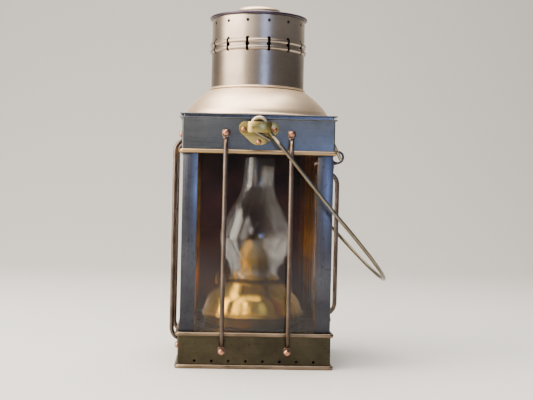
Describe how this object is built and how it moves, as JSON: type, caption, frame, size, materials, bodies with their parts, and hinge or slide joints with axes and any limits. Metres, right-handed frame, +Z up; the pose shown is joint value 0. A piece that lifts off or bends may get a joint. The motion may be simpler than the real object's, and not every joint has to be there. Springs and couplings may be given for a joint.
{
  "type": "ship lantern",
  "caption": "Square glazed oil lantern with guard bars, a round vented top, a swinging wire bail, a hinged side door with hasp, and a flat-wick lamp inside.",
  "frame": {"origin": "middle of the square base, on the surface that the lantern stands on", "axes": "+Z up, -Y the front, +X the door side, towards which the bail hangs"},
  "size_m": [0.2297, 0.1838, 0.3758],
  "materials": {
    "bronzed_sheet": "antiqued dark bronze sheet, satin, with rubbed edges",
    "roof_brass": "satin worn brass, pale and slightly pink",
    "stack_metal": "brushed round its axis, grey-brown patina",
    "bar_metal": "antiqued copper-brown wire",
    "bracket_brass": "brushed olive-yellow brass",
    "lamp_brass": "polished brass with light tarnish",
    "clear_glass": "clear glass",
    "cotton": "woven cotton lamp wick"
  },
  "bodies": {
    "lantern_body": {"base_band": "bronzed_sheet", "bottom_plate": "bronzed_sheet", "floor_plate": "bronzed_sheet", "post_front_left": "bronzed_sheet", "post_front_right": "bronzed_sheet", "post_rear_left": "bronzed_sheet", "post_rear_right": "bronzed_sheet", "back_sheet": "bronzed_sheet", "top_band": "bronzed_sheet", "wind_baffle": "bronzed_sheet", "roof_plate": "roof_brass", "roof_dome": "roof_brass", "cap_plate": "roof_brass", "cap_crown": "roof_brass", "vent_stack": "stack_metal", "stack_seam_ring": "stack_metal", "front_bar_left": "bar_metal", "front_bar_right": "bar_metal", "left_bar_rear": "bar_metal", "left_bar_front": "bar_metal", "front_bail_bracket": "bracket_brass", "front_bail_keeper": "bracket_brass", "front_bail_stud": "bracket_brass", "rear_bail_bracket": "bracket_brass", "rear_bail_keeper": "bracket_brass", "rear_bail_stud": "bracket_brass", "hasp_bracket": "bracket_brass", "hasp_pin": "bracket_brass", "hinge_post_leaf_lower": "bracket_brass", "hinge_post_leaf_upper": "bracket_brass", "hinge_pin_lower": "bracket_brass", "hinge_pin_upper": "bracket_brass", "glass_stop_front_left": "lamp_brass", "glass_stop_front_right": "lamp_brass", "glass_stop_rear_left": "lamp_brass", "glass_stop_rear_right": "lamp_brass", "glass_front": "clear_glass", "glass_left": "clear_glass"},
    "door": {"door_frame": "bronzed_sheet", "door_glass": "clear_glass", "door_glass_stop": "lamp_brass", "door_bar_front": "bar_metal", "door_bar_rear": "bar_metal", "door_staple": "bracket_brass", "hinge_door_leaf_lower": "bracket_brass", "hinge_door_leaf_upper": "bracket_brass"},
    "hasp": {"hasp_leaf": "bracket_brass"},
    "bail": {"bail": "bar_metal"},
    "lamp": {"fount_base": "lamp_brass", "fount_top": "lamp_brass", "burner_body": "lamp_brass", "chimney_gallery": "lamp_brass", "burner_dome": "lamp_brass", "wick_tube": "lamp_brass"},
    "wick_wheel": {"wick_shaft": "lamp_brass", "wick_knob": "lamp_brass"},
    "wick": {"wick": "cotton"},
    "chimney": {"chimney": "clear_glass"}
  },
  "joints": [
    {"name": "bail_swing", "type": "hinge", "parent": "lantern_body", "child": "bail", "pos_m": [0, 0, 0.2445], "axis": [0, -1, 0], "range_deg": [0, 277.2]},
    {"name": "door_hinge", "type": "hinge", "parent": "lantern_body", "child": "door", "pos_m": [0.0792, 0.0706, 0.1255], "axis": [0, 0, 1], "range_deg": [0, 15]},
    {"name": "hasp_hinge", "type": "hinge", "parent": "lantern_body", "child": "hasp", "pos_m": [0.0812, 0, 0.238], "axis": [0, -1, 0], "range_deg": [0, 120]},
    {"name": "lamp_lift", "type": "slide", "parent": "lantern_body", "child": "lamp", "axis": [0, 0, 1], "range_m": [0, 0.012]},
    {"name": "chimney_lift", "type": "slide", "parent": "lamp", "child": "chimney", "axis": [0, 0, 1], "range_m": [0, 0.02]},
    {"name": "wick_knob_turn", "type": "hinge", "parent": "lamp", "child": "wick_wheel", "pos_m": [-0.02, 0.00365, 0.0836], "axis": [-1, 0, 0], "range_deg": [-150, 150]},
    {"name": "wick_feed", "type": "slide", "parent": "lamp", "child": "wick", "axis": [0, 0, 1], "range_m": [-0.005, 0.005]}
  ],
  "couplings": [
    {"joint": "wick_knob_turn", "follows": "wick_feed", "rad_per_m": 500}
  ]
}
